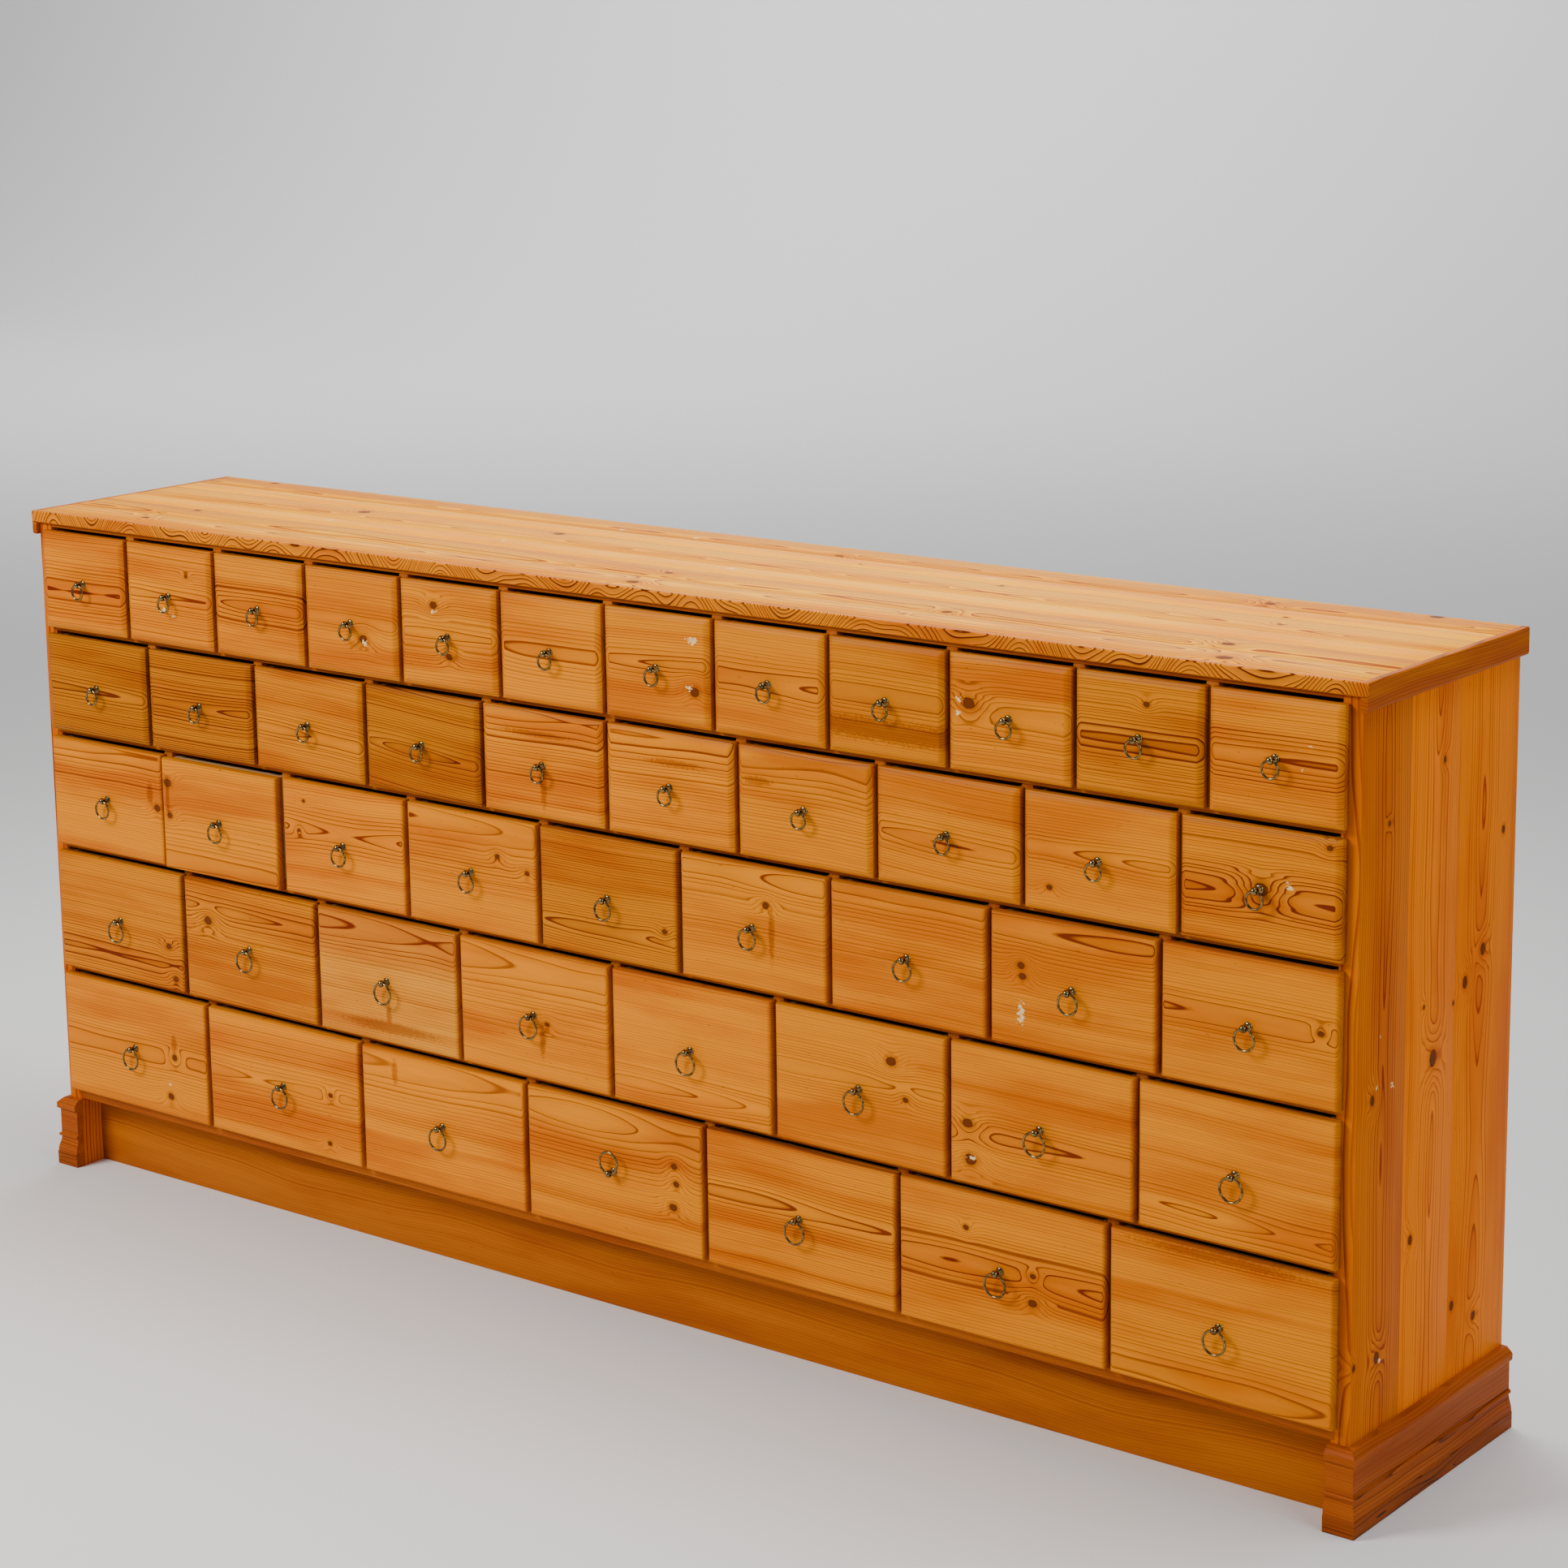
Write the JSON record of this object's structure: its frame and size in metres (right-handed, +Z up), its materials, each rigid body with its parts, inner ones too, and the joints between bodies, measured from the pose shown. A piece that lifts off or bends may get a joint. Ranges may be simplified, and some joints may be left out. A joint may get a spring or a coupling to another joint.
{
  "type": "apothecary cabinet",
  "caption": "Long, low apothecary cabinet in varnished pine: rows of lapped drawers with brass ring pulls, a set-back plinth, and moulded feet at both ends.",
  "frame": {"origin": "on the floor, at the middle of the whole cabinet's footprint, ring pulls and foot mouldings included", "axes": "+X along the front to the viewer's right, +Y from the front to the back, +Z up; the drawers open towards -Y"},
  "size_m": [2.03, 0.381, 0.92],
  "materials": {
    "top_pine": "satin varnished pine, paler",
    "edging_pine": "satin varnished pine, wavy figure",
    "case_pine": "satin varnished pine",
    "front_pine": "satin varnished pine, honey orange",
    "foot_pine": "satin stained pine, red brown",
    "back_pine": "bare aged pine",
    "box_pine": "bare pine",
    "brass": "aged brass, lightly tarnished"
  },
  "bodies": {
    "case": {"top_panel": "top_pine", "top_edging": "edging_pine", "side_panel_left": "case_pine", "side_panel_right": "case_pine", "shelves": "case_pine", "dividers": "case_pine", "back_boards": "back_pine", "plinth_board": "foot_pine", "base_mouldings": "foot_pine"},
    "drawer_1_01": {"drawer_1_01": "front_pine"},
    "drawer_1_02": {"drawer_1_02": "front_pine"},
    "drawer_1_03": {"drawer_1_03": "front_pine"},
    "drawer_1_04": {"drawer_1_04": "front_pine"},
    "drawer_1_05": {"drawer_1_05": "front_pine"},
    "drawer_1_06": {"drawer_1_06": "front_pine"},
    "drawer_1_07": {"drawer_1_07": "front_pine"},
    "drawer_1_08": {"drawer_1_08": "front_pine"},
    "drawer_1_09": {"drawer_1_09": "front_pine"},
    "drawer_1_10": {"drawer_1_10": "front_pine"},
    "drawer_1_11": {"drawer_1_11": "front_pine"},
    "drawer_1_12": {"drawer_1_12": "front_pine"},
    "drawer_2_01": {"drawer_2_01": "front_pine"},
    "drawer_2_02": {"drawer_2_02": "front_pine"},
    "drawer_2_03": {"drawer_2_03": "front_pine"},
    "drawer_2_04": {"drawer_2_04": "front_pine"},
    "drawer_2_05": {"drawer_2_05": "front_pine"},
    "drawer_2_06": {"drawer_2_06": "front_pine"},
    "drawer_2_07": {"drawer_2_07": "front_pine"},
    "drawer_2_08": {"drawer_2_08": "front_pine"},
    "drawer_2_09": {"drawer_2_09": "front_pine"},
    "drawer_2_10": {"drawer_2_10": "front_pine"},
    "drawer_3_01": {"drawer_3_01": "front_pine"},
    "drawer_3_02": {"drawer_3_02": "front_pine"},
    "drawer_3_03": {"drawer_3_03": "front_pine"},
    "drawer_3_04": {"drawer_3_04": "front_pine"},
    "drawer_3_05": {"drawer_3_05": "front_pine"},
    "drawer_3_06": {"drawer_3_06": "front_pine"},
    "drawer_3_07": {"drawer_3_07": "front_pine"},
    "drawer_3_08": {"drawer_3_08": "front_pine"},
    "drawer_3_09": {"drawer_3_09": "front_pine"},
    "drawer_4_01": {"drawer_4_01": "front_pine"},
    "drawer_4_02": {"drawer_4_02": "front_pine"},
    "drawer_4_03": {"drawer_4_03": "front_pine"},
    "drawer_4_04": {"drawer_4_04": "front_pine"},
    "drawer_4_05": {"drawer_4_05": "front_pine"},
    "drawer_4_06": {"drawer_4_06": "front_pine"},
    "drawer_4_07": {"drawer_4_07": "front_pine"},
    "drawer_4_08": {"drawer_4_08": "front_pine"},
    "drawer_5_01": {"drawer_5_01": "front_pine"},
    "drawer_5_02": {"drawer_5_02": "front_pine"},
    "drawer_5_03": {"drawer_5_03": "front_pine"},
    "drawer_5_04": {"drawer_5_04": "front_pine"},
    "drawer_5_05": {"drawer_5_05": "front_pine"},
    "drawer_5_06": {"drawer_5_06": "front_pine"},
    "drawer_5_07": {"drawer_5_07": "front_pine"},
    "ring_1_12": {"ring_1_12": "brass"},
    "ring_2_10": {"ring_2_10": "brass"},
    "ring_3_09": {"ring_3_09": "brass"},
    "ring_4_08": {"ring_4_08": "brass"},
    "ring_5_07": {"ring_5_07": "brass"}
  },
  "joints": [
    {"name": "ring_1_12_swing", "type": "hinge", "parent": "drawer_1_12", "child": "ring_1_12", "pos_m": [0.90612, -0.186, 0.83], "axis": [-1, 0, 0], "range_deg": [-15, 180]},
    {"name": "ring_2_10_swing", "type": "hinge", "parent": "drawer_2_10", "child": "ring_2_10", "pos_m": [0.88965, -0.186, 0.689], "axis": [-1, 0, 0], "range_deg": [-15, 180]},
    {"name": "ring_3_09_swing", "type": "hinge", "parent": "drawer_3_09", "child": "ring_3_09", "pos_m": [0.87867, -0.186, 0.53875], "axis": [-1, 0, 0], "range_deg": [-15, 180]},
    {"name": "ring_4_08_swing", "type": "hinge", "parent": "drawer_4_08", "child": "ring_4_08", "pos_m": [0.86494, -0.186, 0.3725], "axis": [-1, 0, 0], "range_deg": [-15, 180]},
    {"name": "ring_5_07_swing", "type": "hinge", "parent": "drawer_5_07", "child": "ring_5_07", "pos_m": [0.84729, -0.186, 0.197], "axis": [-1, 0, 0], "range_deg": [-15, 180]},
    {"name": "drawer_1_01_slide", "type": "slide", "parent": "case", "child": "drawer_1_01", "axis": [0, -1, 0], "range_m": [0, 0.25]},
    {"name": "drawer_1_02_slide", "type": "slide", "parent": "case", "child": "drawer_1_02", "axis": [0, -1, 0], "range_m": [0, 0.25]},
    {"name": "drawer_1_03_slide", "type": "slide", "parent": "case", "child": "drawer_1_03", "axis": [0, -1, 0], "range_m": [0, 0.25]},
    {"name": "drawer_1_04_slide", "type": "slide", "parent": "case", "child": "drawer_1_04", "axis": [0, -1, 0], "range_m": [0, 0.25]},
    {"name": "drawer_1_05_slide", "type": "slide", "parent": "case", "child": "drawer_1_05", "axis": [0, -1, 0], "range_m": [0, 0.25]},
    {"name": "drawer_1_06_slide", "type": "slide", "parent": "case", "child": "drawer_1_06", "axis": [0, -1, 0], "range_m": [0, 0.25]},
    {"name": "drawer_1_07_slide", "type": "slide", "parent": "case", "child": "drawer_1_07", "axis": [0, -1, 0], "range_m": [0, 0.25]},
    {"name": "drawer_1_08_slide", "type": "slide", "parent": "case", "child": "drawer_1_08", "axis": [0, -1, 0], "range_m": [0, 0.25]},
    {"name": "drawer_1_09_slide", "type": "slide", "parent": "case", "child": "drawer_1_09", "axis": [0, -1, 0], "range_m": [0, 0.25]},
    {"name": "drawer_1_10_slide", "type": "slide", "parent": "case", "child": "drawer_1_10", "axis": [0, -1, 0], "range_m": [0, 0.25]},
    {"name": "drawer_1_11_slide", "type": "slide", "parent": "case", "child": "drawer_1_11", "axis": [0, -1, 0], "range_m": [0, 0.25]},
    {"name": "drawer_1_12_slide", "type": "slide", "parent": "case", "child": "drawer_1_12", "axis": [0, -1, 0], "range_m": [0, 0.25]},
    {"name": "drawer_2_01_slide", "type": "slide", "parent": "case", "child": "drawer_2_01", "axis": [0, -1, 0], "range_m": [0, 0.25]},
    {"name": "drawer_2_02_slide", "type": "slide", "parent": "case", "child": "drawer_2_02", "axis": [0, -1, 0], "range_m": [0, 0.25]},
    {"name": "drawer_2_03_slide", "type": "slide", "parent": "case", "child": "drawer_2_03", "axis": [0, -1, 0], "range_m": [0, 0.25]},
    {"name": "drawer_2_04_slide", "type": "slide", "parent": "case", "child": "drawer_2_04", "axis": [0, -1, 0], "range_m": [0, 0.25]},
    {"name": "drawer_2_05_slide", "type": "slide", "parent": "case", "child": "drawer_2_05", "axis": [0, -1, 0], "range_m": [0, 0.25]},
    {"name": "drawer_2_06_slide", "type": "slide", "parent": "case", "child": "drawer_2_06", "axis": [0, -1, 0], "range_m": [0, 0.25]},
    {"name": "drawer_2_07_slide", "type": "slide", "parent": "case", "child": "drawer_2_07", "axis": [0, -1, 0], "range_m": [0, 0.25]},
    {"name": "drawer_2_08_slide", "type": "slide", "parent": "case", "child": "drawer_2_08", "axis": [0, -1, 0], "range_m": [0, 0.25]},
    {"name": "drawer_2_09_slide", "type": "slide", "parent": "case", "child": "drawer_2_09", "axis": [0, -1, 0], "range_m": [0, 0.25]},
    {"name": "drawer_2_10_slide", "type": "slide", "parent": "case", "child": "drawer_2_10", "axis": [0, -1, 0], "range_m": [0, 0.25]},
    {"name": "drawer_3_01_slide", "type": "slide", "parent": "case", "child": "drawer_3_01", "axis": [0, -1, 0], "range_m": [0, 0.25]},
    {"name": "drawer_3_02_slide", "type": "slide", "parent": "case", "child": "drawer_3_02", "axis": [0, -1, 0], "range_m": [0, 0.25]},
    {"name": "drawer_3_03_slide", "type": "slide", "parent": "case", "child": "drawer_3_03", "axis": [0, -1, 0], "range_m": [0, 0.25]},
    {"name": "drawer_3_04_slide", "type": "slide", "parent": "case", "child": "drawer_3_04", "axis": [0, -1, 0], "range_m": [0, 0.25]},
    {"name": "drawer_3_05_slide", "type": "slide", "parent": "case", "child": "drawer_3_05", "axis": [0, -1, 0], "range_m": [0, 0.25]},
    {"name": "drawer_3_06_slide", "type": "slide", "parent": "case", "child": "drawer_3_06", "axis": [0, -1, 0], "range_m": [0, 0.25]},
    {"name": "drawer_3_07_slide", "type": "slide", "parent": "case", "child": "drawer_3_07", "axis": [0, -1, 0], "range_m": [0, 0.25]},
    {"name": "drawer_3_08_slide", "type": "slide", "parent": "case", "child": "drawer_3_08", "axis": [0, -1, 0], "range_m": [0, 0.25]},
    {"name": "drawer_3_09_slide", "type": "slide", "parent": "case", "child": "drawer_3_09", "axis": [0, -1, 0], "range_m": [0, 0.25]},
    {"name": "drawer_4_01_slide", "type": "slide", "parent": "case", "child": "drawer_4_01", "axis": [0, -1, 0], "range_m": [0, 0.25]},
    {"name": "drawer_4_02_slide", "type": "slide", "parent": "case", "child": "drawer_4_02", "axis": [0, -1, 0], "range_m": [0, 0.25]},
    {"name": "drawer_4_03_slide", "type": "slide", "parent": "case", "child": "drawer_4_03", "axis": [0, -1, 0], "range_m": [0, 0.25]},
    {"name": "drawer_4_04_slide", "type": "slide", "parent": "case", "child": "drawer_4_04", "axis": [0, -1, 0], "range_m": [0, 0.25]},
    {"name": "drawer_4_05_slide", "type": "slide", "parent": "case", "child": "drawer_4_05", "axis": [0, -1, 0], "range_m": [0, 0.25]},
    {"name": "drawer_4_06_slide", "type": "slide", "parent": "case", "child": "drawer_4_06", "axis": [0, -1, 0], "range_m": [0, 0.25]},
    {"name": "drawer_4_07_slide", "type": "slide", "parent": "case", "child": "drawer_4_07", "axis": [0, -1, 0], "range_m": [0, 0.25]},
    {"name": "drawer_4_08_slide", "type": "slide", "parent": "case", "child": "drawer_4_08", "axis": [0, -1, 0], "range_m": [0, 0.25]},
    {"name": "drawer_5_01_slide", "type": "slide", "parent": "case", "child": "drawer_5_01", "axis": [0, -1, 0], "range_m": [0, 0.25]},
    {"name": "drawer_5_02_slide", "type": "slide", "parent": "case", "child": "drawer_5_02", "axis": [0, -1, 0], "range_m": [0, 0.25]},
    {"name": "drawer_5_03_slide", "type": "slide", "parent": "case", "child": "drawer_5_03", "axis": [0, -1, 0], "range_m": [0, 0.25]},
    {"name": "drawer_5_04_slide", "type": "slide", "parent": "case", "child": "drawer_5_04", "axis": [0, -1, 0], "range_m": [0, 0.25]},
    {"name": "drawer_5_05_slide", "type": "slide", "parent": "case", "child": "drawer_5_05", "axis": [0, -1, 0], "range_m": [0, 0.25]},
    {"name": "drawer_5_06_slide", "type": "slide", "parent": "case", "child": "drawer_5_06", "axis": [0, -1, 0], "range_m": [0, 0.25]},
    {"name": "drawer_5_07_slide", "type": "slide", "parent": "case", "child": "drawer_5_07", "axis": [0, -1, 0], "range_m": [0, 0.25]}
  ]
}
